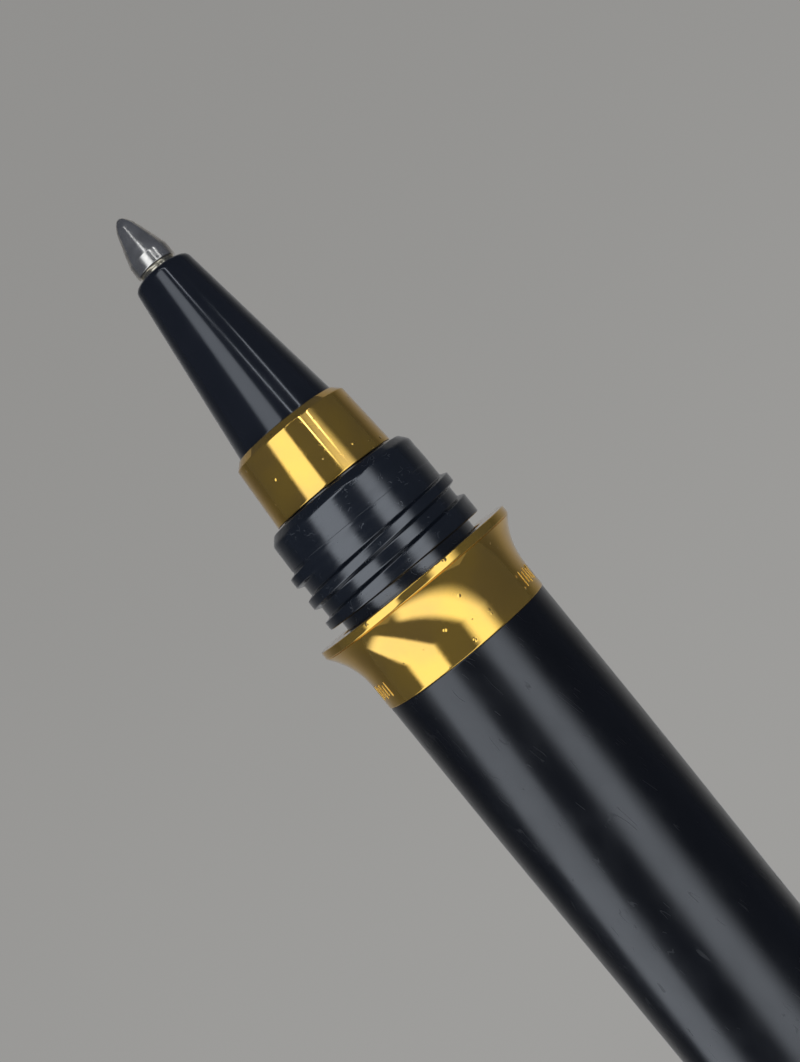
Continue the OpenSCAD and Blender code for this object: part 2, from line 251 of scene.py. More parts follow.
def block(name, low, high):
    """A closed box, used as a cutter."""
    x, y, z = zip(low, high)
    verts = [(x[i], y[j], z[k]) for i in (0, 1) for j in (0, 1) for k in (0, 1)]
    faces = [(0, 1, 3, 2), (4, 6, 7, 5), (0, 4, 5, 1), (2, 3, 7, 6), (0, 2, 6, 4), (1, 5, 7, 3)]
    return as_object(name, verts, faces)


def combine(piece, operation, other, crease=30):
    """Cuts other from piece, or joins it to piece, and removes other."""
    modifier = piece.modifiers.new("combine", "BOOLEAN")
    modifier.operation = operation
    modifier.solver = "EXACT"
    modifier.object = other
    depsgraph = bpy.context.evaluated_depsgraph_get()
    mesh = bpy.data.meshes.new_from_object(piece.evaluated_get(depsgraph))
    piece.modifiers.clear()
    piece.data = mesh
    bpy.data.objects.remove(other)
    mesh.shade_smooth()
    mesh.set_sharp_from_angle(angle=math.radians(crease))
    return piece


def loft(name, sections, crease=30):
    """A closed solid through sections, each a list of points of equal number."""
    verts = [point for section in sections for point in section]
    n = len(sections[0])
    rings = [list(range(i * n, (i + 1) * n)) for i in range(len(sections))]
    faces = [rings[0][::-1], rings[-1]]
    for a, b in zip(rings, rings[1:]):
        join_rings(faces, a, b)
    return as_object(name, verts, faces, crease)


# ---------------------------------------------------------------- materials

def opaque(colour):
    """An output as it is, or a colour with its alpha."""
    return colour if isinstance(colour, bpy.types.NodeSocket) else (*colour, 1)


class Look:
    """A Principled material whose textures are measured in millimetres on the object."""

    def __init__(self, name, **sockets):
        self.material = bpy.data.materials.new(name)
        self.material.use_nodes = True
        self.tree = self.material.node_tree
        self.shader = self.tree.nodes["Principled BSDF"]
        for socket, value in sockets.items():
            self.shader.inputs[socket.replace("_", " ")].default_value = value
        where = self.add("ShaderNodeTexCoord")
        self.place = self.scaled(where.outputs["Object"], (1 / MM,) * 3)
        self.height = None

    def add(self, kind, **settings):
        node = self.tree.nodes.new(kind)
        for setting, value in settings.items():
            setattr(node, setting, value)
        return node

    def put(self, socket, value):
        """Links an output to a socket, or sets the socket to a number or colour."""
        if isinstance(value, bpy.types.NodeSocket):
            self.tree.links.new(value, socket)
        else:
            socket.default_value = value

    def scaled(self, vector, scale, turn=(0, 0, 0)):
        node = self.add("ShaderNodeMapping")
        self.put(node.inputs["Vector"], vector)
        node.inputs["Scale"].default_value = scale
        node.inputs["Rotation"].default_value = [math.radians(t) for t in turn]
        return node.outputs["Vector"]

    def noise(self, scale, stretch=(1, 1, 1), detail=2.0, turn=(0, 0, 0)):
        """Noise from 0 to 1; scale is in cycles per millimetre."""
        node = self.add("ShaderNodeTexNoise")
        vector = self.place
        if turn != (0, 0, 0):
            vector = self.scaled(vector, (1, 1, 1), turn)
        self.put(node.inputs["Vector"], self.scaled(vector, stretch))
        node.inputs["Scale"].default_value = scale
        node.inputs["Detail"].default_value = detail
        return node.outputs["Fac"]

    def fade(self, value, low, high, first=0.0, last=1.0):
        """value from low to high as first to last, clamped and eased."""
        node = self.add("ShaderNodeMapRange", interpolation_type="SMOOTHSTEP")
        for socket, number in zip(("Value", "From Min", "From Max", "To Min", "To Max"),
                                  (value, low, high, first, last)):
            self.put(node.inputs[socket], number)
        return node.outputs["Result"]

    def maths(self, operation, a, b):
        node = self.add("ShaderNodeMath", operation=operation)
        self.put(node.inputs[0], a)
        self.put(node.inputs[1], b)
        return node.outputs[0]

    def mix(self, share, a, b):
        """Colour a, with this share of colour b."""
        node = self.add("ShaderNodeMix", data_type="RGBA")
        self.put(node.inputs["Factor"], share)
        self.put(node.inputs[6], opaque(a))
        self.put(node.inputs[7], opaque(b))
        return node.outputs[2]

    def specks(self, scale, radius, share):
        """Round specks in a share of the cells: 1 at a speck's middle, 0 outside it."""
        node = self.add("ShaderNodeTexVoronoi")
        self.put(node.inputs["Vector"], self.place)
        node.inputs["Scale"].default_value = scale
        split = self.add("ShaderNodeSeparateColor")
        self.put(split.inputs[0], node.outputs["Color"])
        chosen = self.maths("LESS_THAN", split.outputs[0], share)
        size = self.fade(split.outputs[1], 0, 1, radius * scale * 0.35, radius * scale)
        reach = self.maths("DIVIDE", node.outputs["Distance"], size)
        return self.maths("MULTIPLY", self.fade(reach, 0, 1, 1, 0), chosen)

    def lines(self, scale, length, threshold, turn, width=0.02):
        """Fine scratches: the level lines of a long-drawn noise, in patches."""
        drawn = self.noise(scale, (1, 1, 1 / length), 1.0, turn)
        level = self.maths("ABSOLUTE", self.maths("SUBTRACT", drawn, 0.5), 0)
        patches = self.fade(self.noise(scale * 0.6, (1, 1, 1), 0.0, turn), threshold, threshold + 0.08)
        return self.maths("MULTIPLY", self.fade(level, 0, width, 1, 0), patches)

    def raise_by(self, value, amount):
        """Adds value times amount, in millimetres, to the surface's height."""
        part = self.maths("MULTIPLY", value, amount)
        self.height = part if self.height is None else self.maths("ADD", self.height, part)

    def finish(self, colour, roughness):
        """Connects the colour, roughness and height, and returns the material."""
        self.put(self.shader.inputs["Base Color"], opaque(colour))
        self.put(self.shader.inputs["Roughness"], roughness)
        if self.height is not None:
            bump = self.add("ShaderNodeBump")
            bump.inputs["Distance"].default_value = MM
            bump.inputs["Strength"].default_value = 1
            self.put(bump.inputs["Height"], self.height)
            self.put(self.shader.inputs["Normal"], bump.outputs["Normal"])
        return self.material


GOLD, DULL_GOLD, GOLD_DUST = (0.90, 0.54, 0.095), (0.79, 0.475, 0.105), (0.75, 0.55, 0.3)
LACQUER, WORN_LACQUER, LACQUER_DUST = (0.0014, 0.0017, 0.0027), (0.0024, 0.0028, 0.0042), (0.20, 0.21, 0.22)
RESIN, WORN_RESIN, RESIN_DUST = (0.0095, 0.0115, 0.0165), (0.012, 0.0138, 0.019), (0.22, 0.22, 0.22)
COLLAR, WORN_COLLAR, COLLAR_DUST = (0.0055, 0.008, 0.0125), (0.0075, 0.0105, 0.0155), (0.24, 0.25, 0.26)
STEEL, YELLOWISH_NECK, STEEL_DUST = (0.80, 0.745, 0.66), (0.66, 0.60, 0.46), (0.1, 0.09, 0.08)
BRASS, TARNISH = (0.72, 0.50, 0.20), (0.42, 0.27, 0.11)
NYLON, SHADED_NYLON = (0.78, 0.78, 0.75), (0.70, 0.70, 0.66)
BLUE, SHADED_BLUE = (0.035, 0.055, 0.24), (0.03, 0.045, 0.19)
INK, PALE_INK = (0.03, 0.04, 0.17), (0.09, 0.11, 0.34)


def gold():
    """Polished gold plate with fine scratches, tiny blisters and a trace of tarnish."""
    look = Look("polished_gold", Metallic=0.87, Coat_Weight=0.3, Coat_Roughness=0.04)
    cloud = look.fade(look.noise(0.35, detail=4), 0.35, 0.7)
    scratch = look.lines(3.2, 14, 0.52, (20, 35, 0))
    across = look.lines(2.6, 10, 0.56, (70, -20, 40))
    blister = look.specks(1.3, 0.17, 0.45)
    dust = look.specks(2.3, 0.06, 0.14)
    colour = look.mix(cloud, GOLD, DULL_GOLD)
    colour = look.mix(look.maths("MULTIPLY", dust, 0.7), colour, GOLD_DUST)
    look.raise_by(scratch, -0.00035)
    look.raise_by(across, -0.0003)
    look.raise_by(blister, 0.045)
    look.raise_by(dust, 0.008)
    look.raise_by(look.noise(1.3, detail=3), 0.0012)
    rough = look.fade(look.noise(1.6, detail=5), 0.35, 0.75, 0.04, 0.11)
    return look.finish(colour, look.maths("MAXIMUM", rough, look.maths("MULTIPLY", dust, 0.4)))


def lacquer():
    """Black lacquer: a soft gloss with dust, hairlines and a little orange peel."""
    look = Look("black_lacquer", IOR=1.68)
    dust = look.specks(1.1, 0.06, 0.16)
    fine = look.specks(3.1, 0.03, 0.12)
    hair = look.lines(1.6, 18, 0.6, (10, 12, 0))
    cloud = look.fade(look.noise(0.25, detail=4), 0.3, 0.75)
    colour = look.mix(cloud, LACQUER, WORN_LACQUER)
    grey = look.maths("MULTIPLY", look.maths("MAXIMUM", dust, fine), 0.30)
    colour = look.mix(grey, colour, LACQUER_DUST)
    look.raise_by(look.noise(0.9, detail=2), 0.0016)
    look.raise_by(hair, -0.0004)
    look.raise_by(dust, 0.006)
    rough = look.fade(look.noise(0.8, (1, 1, 0.5), 4), 0.3, 0.75, 0.20, 0.27)
    return look.finish(colour, look.maths("ADD", rough, look.maths("MULTIPLY", hair, 0.15)))


def resin():
    """Polished black resin: sharp reflections with a faint haze and hairline scratches."""
    look = Look("polished_resin", IOR=1.55, Coat_Weight=0.35, Coat_Roughness=0.02)
    dust = look.specks(1.4, 0.06, 0.12)
    hair = look.lines(2.2, 16, 0.56, (14, -10, 0))
    cloud = look.fade(look.noise(0.4, detail=4), 0.3, 0.75)
    colour = look.mix(cloud, RESIN, WORN_RESIN)
    colour = look.mix(look.maths("MULTIPLY", dust, 0.25), colour, RESIN_DUST)
    look.raise_by(hair, -0.0004)
    look.raise_by(dust, 0.005)
    look.raise_by(look.noise(0.7, detail=2), 0.0008)
    rough = look.fade(look.noise(1.2, (1, 1, 0.4), 4), 0.3, 0.75, 0.11, 0.17)
    return look.finish(colour, rough)


def collar_resin():
    """Turned black resin: satin, with fine tool marks round it and scuffs at the thread."""
    look = Look("turned_resin", IOR=1.64, Specular_IOR_Level=0.8)
    tooling = look.noise(14, (0.02, 0.02, 1), 3)
    scuff = look.lines(3.0, 6, 0.62, (80, 10, 20), 0.02)
    dust = look.specks(1.6, 0.09, 0.13)
    cloud = look.fade(look.noise(0.5, detail=4), 0.3, 0.75)
    colour = look.mix(cloud, COLLAR, WORN_COLLAR)
    grey = look.maths("MAXIMUM", look.maths("MULTIPLY", scuff, 0.2), look.maths("MULTIPLY", dust, 0.3))
    colour = look.mix(grey, colour, COLLAR_DUST)
    look.raise_by(tooling, 0.0016)
    look.raise_by(scuff, -0.001)
    look.raise_by(dust, 0.008)
    rough = look.fade(look.noise(2.5, (0.1, 0.1, 1), 4), 0.3, 0.75, 0.14, 0.22)
    return look.finish(colour, look.maths("ADD", rough, look.maths("MULTIPLY", scuff, 0.2)))


def steel(name="turned_steel", base=STEEL, tool_scale=16):
    """Turned and polished metal with fine tool marks round it."""
    look = Look(name, Metallic=0.92)
    tooling = look.noise(tool_scale, (0.02, 0.02, 1), 3)
    cloud = look.fade(look.noise(1.1, detail=4), 0.35, 0.7)
    dust = look.specks(2.0, 0.06, 0.1)
    darker = tuple(0.78 * c for c in base)
    colour = look.mix(cloud, base, darker)
    colour = look.mix(look.maths("MULTIPLY", dust, 0.6), colour, STEEL_DUST)
    look.raise_by(tooling, 0.0022)
    look.raise_by(dust, 0.003)
    rough = look.fade(look.noise(3, (0.3, 0.3, 1), 4), 0.3, 0.75, 0.15, 0.28)
    return look.finish(colour, rough)


def brass():
    """Machined brass with tool marks and a little tarnish."""
    look = Look("machined_brass", Metallic=1.0)
    tooling = look.noise(7, (0.03, 0.03, 1), 3)
    stain = look.fade(look.noise(0.5, detail=5), 0.45, 0.75)
    colour = look.mix(stain, BRASS, TARNISH)
    look.raise_by(tooling, 0.003)
    rough = look.fade(look.noise(2, (0.3, 0.3, 1), 4), 0.3, 0.75, 0.2, 0.36)
    return look.finish(colour, rough)


def plastic(name, base, other, rough_low, rough_high):
    """Moulded plastic with a fine grain."""
    look = Look(name, IOR=1.5)
    cloud = look.fade(look.noise(0.6, detail=4), 0.3, 0.75)
    look.raise_by(look.noise(9, detail=3), 0.0018)
    rough = look.fade(look.noise(3, detail=4), 0.3, 0.75, rough_low, rough_high)
    return look.finish(look.mix(cloud, base, other), rough)


def fibre():
    """Ink-soaked fibres that run along the pen."""
    look = Look("inked_fibre", Sheen_Weight=0.3)
    strand = look.noise(9, (1, 1, 0.04), 3)
    look.raise_by(strand, 0.02)
    colour = look.mix(look.fade(strand, 0.35, 0.7), INK, PALE_INK)
    return look.finish(colour, look.fade(strand, 0.3, 0.7, 0.7, 0.9))


looks = {
    "gold": gold(),
    "brass": brass(),
    "steel": steel(),
    "black_resin": resin(),
    "collar_resin": collar_resin(),
    "lacquer": lacquer(),
    "refill_plastic": plastic("moulded_nylon", NYLON, SHADED_NYLON, 0.35, 0.5),
    "refill_cap": plastic("moulded_blue", BLUE, SHADED_BLUE, 0.3, 0.45),
    "fibre": fibre(),
}
# The tip's neck gets a yellowish metal tone, warmer than the steel.
yellowish_neck_metal = steel("yellowish_neck", YELLOWISH_NECK, 22)

for part in frame["record"]["subparts"]:
    cad = frame["nodes"][part["node"]]
    cad.data.materials.clear()
    cad.data.materials.append(looks[part["material_slot"]])
behaviour = frame["record"]["behaviour"]
body_of = {node: body for body, nodes in behaviour["bodies"].items() for node in nodes}
slot_of = {part["node"]: part["material_slot"] for part in frame["record"]["subparts"]}


def stand_for(piece, node, material=None):
    """Puts a finished piece in place of the CAD node that it is made from."""
    piece.data.materials.clear()
    piece.data.materials.append(material or looks[slot_of[node]])
    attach(piece, body_of[node])
    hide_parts(node)
    return piece


# ---------------------------------------------------------------- refill

ball_z0, ball_z1, ball_r = span("ball")
ball_mid = (ball_z0 + ball_z1) / 2
ball_side = arc(0, ball_mid, ball_r, -88, 88, 40)
ball_piece = lathe("writing_ball", [(0, ball_z0)] + ball_side + [(0, ball_z1)], 96)
stand_for(ball_piece, "ball")

tip_z0, tip_z1, tip_r = span("refill_tip")
tip_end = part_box("tip_holder")[0].z
lip_r = 0.37 * MM
cone_front_r, cone_front_z = 0.60 * MM, tip_z0 + 0.38 * MM
cone_mid_r, cone_mid_z = 1.04 * MM, 1.90 * MM
cone_z = 2.68 * MM
neck_r = 1.19 * MM
shank_r = 0.9 * MM
wick_bore, wick_bore_z = 0.5 * MM, 2 * MM
socket_r = ball_r + 0.012 * MM
duct_r, duct_end_z = 0.12 * MM, 1.6 * MM
duct_a = math.degrees(math.acos(duct_r / socket_r))
lip_a = math.degrees(math.asin((tip_z0 - ball_mid) / socket_r))
steel_tip = lathe("steel_tip", arc(0, ball_mid, socket_r, duct_a, lip_a, 24) + rounded([
    (lip_r, tip_z0, 0.012 * MM),
    (cone_front_r, cone_front_z, 0.5 * MM),
    (cone_mid_r, cone_mid_z, 0.8 * MM),
    (tip_r - 0.01 * MM, cone_z, 0.25 * MM),
    (tip_r, tip_end - 0.07 * MM, 0.03 * MM),
    (tip_r - 0.07 * MM, tip_end, 0.03 * MM),
    (shank_r, tip_end, 0),
    (shank_r, tip_z1, 0),
    (wick_bore, tip_z1, 0),
    (wick_bore, wick_bore_z, 0),
    (duct_r, duct_end_z, 0)], steps=10), 192)
stand_for(steel_tip, "refill_tip")

_, holder_z1, holder_r = span("tip_holder")
groove_z = tip_end + 0.10 * MM
groove_d = 0.07 * MM
step_z = 7.5 * MM
tip_neck = lathe("tip_neck", rounded([
    (shank_r, tip_end, 0),
    (neck_r - groove_d, tip_end, 0),
    (neck_r - groove_d, groove_z, 0.02 * MM),
    (neck_r, groove_z + 0.05 * MM, 0.02 * MM),
    (neck_r, step_z, 0.05 * MM),
    (holder_r, step_z + 0.3 * MM, 0.05 * MM),
    (holder_r, holder_z1, 0),
    (wick_bore, holder_z1, 0),
    (wick_bore, tip_z1, 0),
    (shank_r, tip_z1, 0)], steps=4), 192)
stand_for(tip_neck, "tip_holder", yellowish_neck_metal)

# ---------------------------------------------------------------- section

nose_z0, nose_z1, nose_r = span("nose_cone")
nose_hole = 1.32 * MM
nose_front_r = 1.84 * MM
core_z0, core_z1, core_r = span("section_core")
core_front_r = 2.35 * MM
core_bore = 1.75 * MM
shoulder_z = 7.55 * MM
nose = lathe("nose", rounded([
    (nose_hole, nose_z0, 0.05 * MM),
    (nose_front_r, nose_z0, 0.40 * MM),
    (nose_r, nose_z1, 0.03 * MM),
    (core_front_r, nose_z1, 0),
    (core_front_r, core_z0, 0),
    (core_bore, core_z0, 0),
    (core_bore, shoulder_z, 0),
    (nose_hole, shoulder_z, 0)], steps=10))
stand_for(nose, "nose_cone")

band_z0, band_z1, band_r = span("front_ring")
band_front_r = band_r - 0.25 * MM
chamfer = 0.4 * MM
front_band = lathe("front_band", rounded([
    (core_front_r, band_z0, 0),
    (band_front_r - chamfer, band_z0, 0.05 * MM),
    (band_front_r, band_z0 + chamfer, 0.08 * MM),
    (band_r, band_z1, 0.06 * MM),
    (core_front_r, band_z1, 0)], steps=6))
stand_for(front_band, "front_ring")

collar_z0, collar_z1, thread_r = span("thread_collar")
collar_r = 4.95 * MM
seat_r = 3.6 * MM
face_r, face_z = 4.50 * MM, collar_z0 + 0.11 * MM
line_z = 21.66 * MM  # a fine turned line round the collar
flange_z0 = 25 * MM
flange_z1 = 25.56 * MM
neck_collar_r = 4.59 * MM
core_back_r = 3.7 * MM
core_step_z = 19.7 * MM
thread_pitch = 1.55 * MM
thread_z0 = line_z + 0.14 * MM
ridge_z = 22.07 * MM  # the first ridge's middle where the thread starts
ridge_base, ridge_crest = 0.86 * MM, 0.56 * MM
cap_ridge = trapezoid(thread_pitch, ridge_base, ridge_crest, thread_r - collar_r, 0.07 * MM)
collar = threaded(
    "cap_thread_collar",
    rounded([
        (core_back_r, collar_z1, 0),
        (core_back_r, core_step_z, 0),
        (core_front_r, core_step_z, 0),
        (core_front_r, collar_z0, 0),
        (seat_r, collar_z0, 0),
        (seat_r, face_z, 0),
        (face_r, face_z, 0.15 * MM),
        (collar_r - 0.045 * MM, face_z + 0.48 * MM, 0.38 * MM),
        (collar_r + 0.012 * MM, line_z - 0.02 * MM, 0.01 * MM),
        (collar_r - 0.006 * MM, line_z, 0.01 * MM),
        (collar_r, thread_z0, 0)], steps=8),
    rounded([
        (thread_r, flange_z0 + 0.03 * MM, 0),
        (thread_r, flange_z1, 0.08 * MM),
        (neck_collar_r, flange_z1, 0.05 * MM),
        (neck_collar_r, collar_z1, 0.05 * MM),
        (core_back_r, collar_z1, 0)], steps=5)[:-1],
    collar_r, cap_ridge, thread_pitch, thread_z0, flange_z0, ridge_z,
    start=-50 / 360, ramp=40 / 360, run_out=0.15 * MM)
stand_for(collar, "thread_collar")

core_pitch = 0.75 * MM
core_thread_z = 28.4 * MM
core_root_r = core_r - 0.25 * MM
core_end_r = core_r - 0.5 * MM
narrow_end_z = 20.1 * MM
wide_bore, wide_z = 3.12 * MM, 21.7 * MM
core_ridge = trapezoid(core_pitch, 0.66 * MM, 0.16 * MM, 0.24 * MM, 0.04 * MM)
core = threaded(
    "section_thread",
    rounded([
        (core_bore, narrow_end_z, 0),
        (core_bore, core_z0, 0),
        (core_front_r, core_z0, 0),
        (core_front_r, core_step_z, 0),
        (core_back_r, core_step_z, 0),
        (core_back_r, collar_z1, 0)]),
    rounded([
        (core_r - 0.26 * MM, core_z1 - 0.3 * MM, 0),
        (core_end_r, core_z1, 0.05 * MM),
        (wide_bore, core_z1, 0),
        (wide_bore, wide_z, 0)]),
    core_root_r, core_ridge, core_pitch, collar_z1 + 0.05 * MM, core_z1 - 0.5 * MM, core_thread_z,
    ramp=0.3, turns=10.4, segments=192)
stand_for(core, "section_core")

washer_z0, washer_z1, washer_r = span("section_washer")
washer_bore = 4.03 * MM
washer = lathe("slip_washer", rounded([
    (washer_bore, washer_z0, 0.06 * MM),
    (washer_r, washer_z0, 0.08 * MM),
    (washer_r, washer_z1, 0.08 * MM),
    (washer_bore, washer_z1, 0.06 * MM)], steps=4))
stand_for(washer, "section_washer")

# ---------------------------------------------------------------- barrel

ring_z0, ring_z1, rim_r = span("flared_ring")
barrel_z0, barrel_z1, barrel_r = span("barrel_shell")
back_r = barrel_r + 0.05 * MM
flat_z = 29.5 * MM
rim_h = 0.56 * MM
flare_z = ring_z0 + rim_h
flare_rise = rim_r - 0.06 * MM - back_r
flare_drop = flat_z - flare_z
flare_r = (flare_drop ** 2 + flare_rise ** 2) / (2 * flare_rise)
flare_a = math.degrees(math.asin(flare_drop / flare_r))
spigot_r = 5.0 * MM
bush_r = 4.5 * MM
bush_z0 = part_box("barrel_bush")[0].z
mouth_bore = 4.67 * MM
mouth_ring = lathe("mouth_ring", rounded([
    (mouth_bore, ring_z0, 0.05 * MM),
    (rim_r, ring_z0, 0.07 * MM),
    (rim_r, flare_z - 0.02 * MM, 0.07 * MM)], steps=6)
    [1:-1] + arc(back_r + flare_r, flat_z, flare_r, 180 + flare_a, 180, 40) + rounded([
        (back_r, flat_z, 0),
        (back_r, barrel_z0, 0.05 * MM),
        (spigot_r, barrel_z0, 0),
        (spigot_r, ring_z1, 0),
        (bush_r, ring_z1, 0),
        (bush_r, bush_z0, 0),
        (mouth_bore, bush_z0, 0)], steps=5)[1:])
stand_for(mouth_ring, "flared_ring")

mark_length = 1.0 * MM
mark_half = 0.04 * MM
mark_rise = 0.045 * MM
mark_z = 29.95 * MM
mark_ends = ((-1, 0.1), (-0.93, 0.8), (-0.8, 1), (0.8, 1), (0.93, 0.8), (1, 0.1))  # (place, size)


def mark_section(middle, size, r):
    """(turn, radius) points round a bar: over its round top, then across its foot in the ring."""
    half = mark_half * size
    angles = [math.pi * step / 8 for step in range(9)]
    top = [(middle + half * math.cos(a) / r, r + mark_rise * size * math.sin(a)) for a in angles]
    return top + [(middle - half / r, r - mark_rise), (middle + half / r, r - mark_rise)]


def ring_marks(name, r, z, groups, count, pitch):
    """Groups of short rounded bars along the axis, set side by side round a cylinder."""
    verts, faces = [], []
    for group in groups:
        for i in range(count):
            middle = math.radians(group + (i - (count - 1) / 2) * pitch)
            reach = mark_length / 2 * (1 - 0.25 * (i % 2))
            rings = []
            for end, size in mark_ends:
                ring = []
                for turn, out in mark_section(middle, size, r):
                    ring.append(len(verts))
                    verts.append((out * math.sin(turn), -out * math.cos(turn), z + end * reach))
                rings.append(ring)
            faces += [rings[0][::-1], rings[-1]]
            for a, b in zip(rings, rings[1:]):
                join_rings(faces, a, b)
    return as_object(name, verts, faces, 50)


marks = ring_marks("ring_marks", back_r, mark_z, groups=(-67, 67, 180), count=5, pitch=4)
marks.data.materials.append(looks["gold"])
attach(marks, "barrel")

tube_r = 4.75 * MM
end_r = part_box("tail_ring")[1].x - 0.05 * MM
straight, straight_blend = 10 * MM, 500 * MM
waist_r, waist_z, waist_blend = 5.4 * MM, 51.5 * MM, 900 * MM
barrel = lathe("barrel", rounded([
    (spigot_r, barrel_z0, 0),
    (barrel_r, barrel_z0, 0.05 * MM),
    (barrel_r, barrel_z0 + straight, straight_blend),
    (waist_r, waist_z, waist_blend),
    (end_r, barrel_z1, 0.06 * MM),
    (tube_r, barrel_z1, 0),
    (tube_r, ring_z1, 0),
    (spigot_r, ring_z1, 0)], steps=5))
stand_for(barrel, "barrel_shell")

spring_low, spring_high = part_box("refill_spring")
spring_l = spring_high.z - spring_low.z
wire_r = 0.22 * MM
coil_r = spring_high.x - wire_r
coil_turns = 5.5
closed_turns = 0.9  # at each end, where the turns lie on each other
turn_steps = 36


def coil_height(turn):
    """The height of the wire's middle above the spring's lower end."""
    closed_rise = 2.04 * wire_r * closed_turns
    if turn < closed_turns:
        return wire_r + closed_rise * turn / closed_turns
    if turn > coil_turns - closed_turns:
        return spring_l - wire_r - closed_rise * (coil_turns - turn) / closed_turns
    share = (turn - closed_turns) / (coil_turns - 2 * closed_turns)
    return wire_r + closed_rise + (spring_l - 2 * wire_r - 2 * closed_rise) * share


wire_sides = 12
coil_sections = []
for step in range(round(coil_turns * turn_steps) + 1):
    turn = step / turn_steps
    out = Vector((math.cos(2 * math.pi * turn), math.sin(2 * math.pi * turn), 0))
    middle = out * coil_r + Vector((0, 0, spring_low.z + coil_height(turn)))
    angles = [2 * math.pi * i / wire_sides for i in range(wire_sides)]
    coil_sections.append([middle + out * wire_r * math.cos(a) + Vector((0, 0, wire_r * math.sin(a)))
                          for a in angles])
spring = stand_for(loft("closed_spring", coil_sections, crease=50), "refill_spring")
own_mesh(spring)

tail_z0, tail_z1, tail_r = span("tail_ring")
finial_spigot = 3 * MM
tail_band = lathe("tail_band", rounded([
    (finial_spigot, tail_z0, 0),
    (tail_r, tail_z0, 0.12 * MM),
    (tail_r, tail_z1, 0.12 * MM),
    (finial_spigot, tail_z1, 0)], steps=6))
stand_for(tail_band, "tail_ring")

finial_z0, finial_z1, finial_r = span("tail_finial")
stud_r = 1.25 * MM
stud_depth = 2 * MM
tail_end = lathe("tail_end", rounded([
    (stud_r, finial_z0, 0),
    (finial_spigot, finial_z0, 0),
    (finial_spigot, tail_z1, 0),
    (finial_r, tail_z1, 0.05 * MM),
    (finial_r - 0.24 * MM, finial_z1, 1.7 * MM),
    (0, finial_z1, 0),
    (0, finial_z1 - stud_depth, 0),
    (stud_r, finial_z1 - stud_depth, 0)], steps=12))
stand_for(tail_end, "tail_finial")

# ---------------------------------------------------------------- cap

mouth_z0, mouth_z1, mouth_r = span("cap_mouth_ring")
insert_z0, insert_z1, insert_r = span("cap_thread_insert")
lip_bore = insert_r - 0.2 * MM
groove_mid = mouth_z0 + 1.0 * MM  # a fine groove round the ring
cap_mouth = lathe("cap_mouth_band", rounded([
    (lip_bore, mouth_z0, 0.06 * MM),
    (mouth_r, mouth_z0, 0.18 * MM),
    (mouth_r, groove_mid - 0.1 * MM, 0.05 * MM),
    (mouth_r - 0.09 * MM, groove_mid, 0.04 * MM),
    (mouth_r, groove_mid + 0.1 * MM, 0.05 * MM),
    (mouth_r, mouth_z1, 0.1 * MM),
    (insert_r, mouth_z1, 0),
    (insert_r, insert_z0, 0),
    (lip_bore, insert_z0, 0)], steps=6))
stand_for(cap_mouth, "cap_mouth_ring")

female_ridge = trapezoid(thread_pitch, 1.0 * MM, 0.7 * MM, 0.16 * MM, 0.04 * MM)
insert_bore = thread_r + 0.08 * MM
insert = threaded(
    "cap_thread",
    [(insert_r, insert_z1), (insert_r, insert_z0), (insert_bore + 0.25 * MM, insert_z0)],
    [(insert_bore, insert_z1)],
    insert_bore, female_ridge, thread_pitch,
    insert_z0 + 0.25 * MM, insert_z1 - 0.4 * MM, insert_z0 + 1.4 * MM,
    ramp=0.15, turns=4.2, segments=192)
stand_for(insert, "cap_thread_insert")

shell_z0, shell_z1, _ = span("cap_shell")
cap_top_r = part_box("crown_ring")[1].x - 0.1 * MM
bulge = 0.08 * MM
shell_low_r = mouth_r - 0.06 * MM
shell_steps = 24
shell_side = [(shell_low_r + (cap_top_r - shell_low_r) * i / shell_steps
               + bulge * math.sin(math.pi * i / shell_steps),
               shell_z0 + (shell_z1 - shell_z0) * i / shell_steps) for i in range(shell_steps + 1)]
cap_tube = lathe("cap_tube", [(insert_r, shell_z0)] + shell_side + [(insert_r, shell_z1)])
stand_for(cap_tube, "cap_shell")

liner_z0, liner_z1, liner_r = span("cap_liner")
liner_bore = 5.25 * MM
liner_floor = liner_z1 - 1.5 * MM
inner_cap = lathe("inner_cap", rounded([
    (liner_bore + 0.2 * MM, liner_z0, 0.05 * MM),
    (liner_r, liner_z0, 0),
    (liner_r, liner_z1, 0),
    (0, liner_z1, 0),
    (0, liner_floor, 0),
    (liner_bore, liner_floor, 0.5 * MM),
    (liner_bore, liner_z0 + 0.4 * MM, 0.1 * MM)], steps=6), 192)
stand_for(inner_cap, "cap_liner")

crown_z0, crown_z1, crown_r = span("crown_ring")
crown_stud = 1.2 * MM
slot_floor = -3.3 * MM
slot_half = 1.3 * MM
crown_band = lathe("crown_band", rounded([
    (crown_stud, crown_z0, 0),
    (crown_r, crown_z0, 0.14 * MM),
    (crown_r, crown_z1, 0.18 * MM),
    (crown_stud, crown_z1, 0)], steps=6))
slot_cut = block("slot_cut", (-slot_half, -2 * crown_r, crown_z0 - MM),
                 (slot_half, slot_floor, crown_z1 + MM))
combine(crown_band, "DIFFERENCE", slot_cut)
pin_low, pin_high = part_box("clip_pin")
pin_mid = (pin_low + pin_high) / 2
pin_r = (pin_high.z - pin_low.z) / 2
pin_half = (pin_high.x - pin_low.x) / 2


def cross_pin(name, r, half):
    """A pin along X on the clip's axis."""
    pin = lathe(name, rounded([
        (0, -half, 0),
        (r, -half, 0.06 * MM),
        (r, half, 0.06 * MM),
        (0, half, 0)], steps=4), 64)
    pin.data.transform(Matrix.Translation(pin_mid) @ Euler((0, math.pi / 2, 0)).to_matrix().to_4x4())
    return pin


combine(crown_band, "DIFFERENCE", cross_pin("pin_hole", pin_r, pin_half))
stand_for(crown_band, "crown_ring")
stand_for(cross_pin("clip_axle", pin_r, pin_half), "clip_pin")

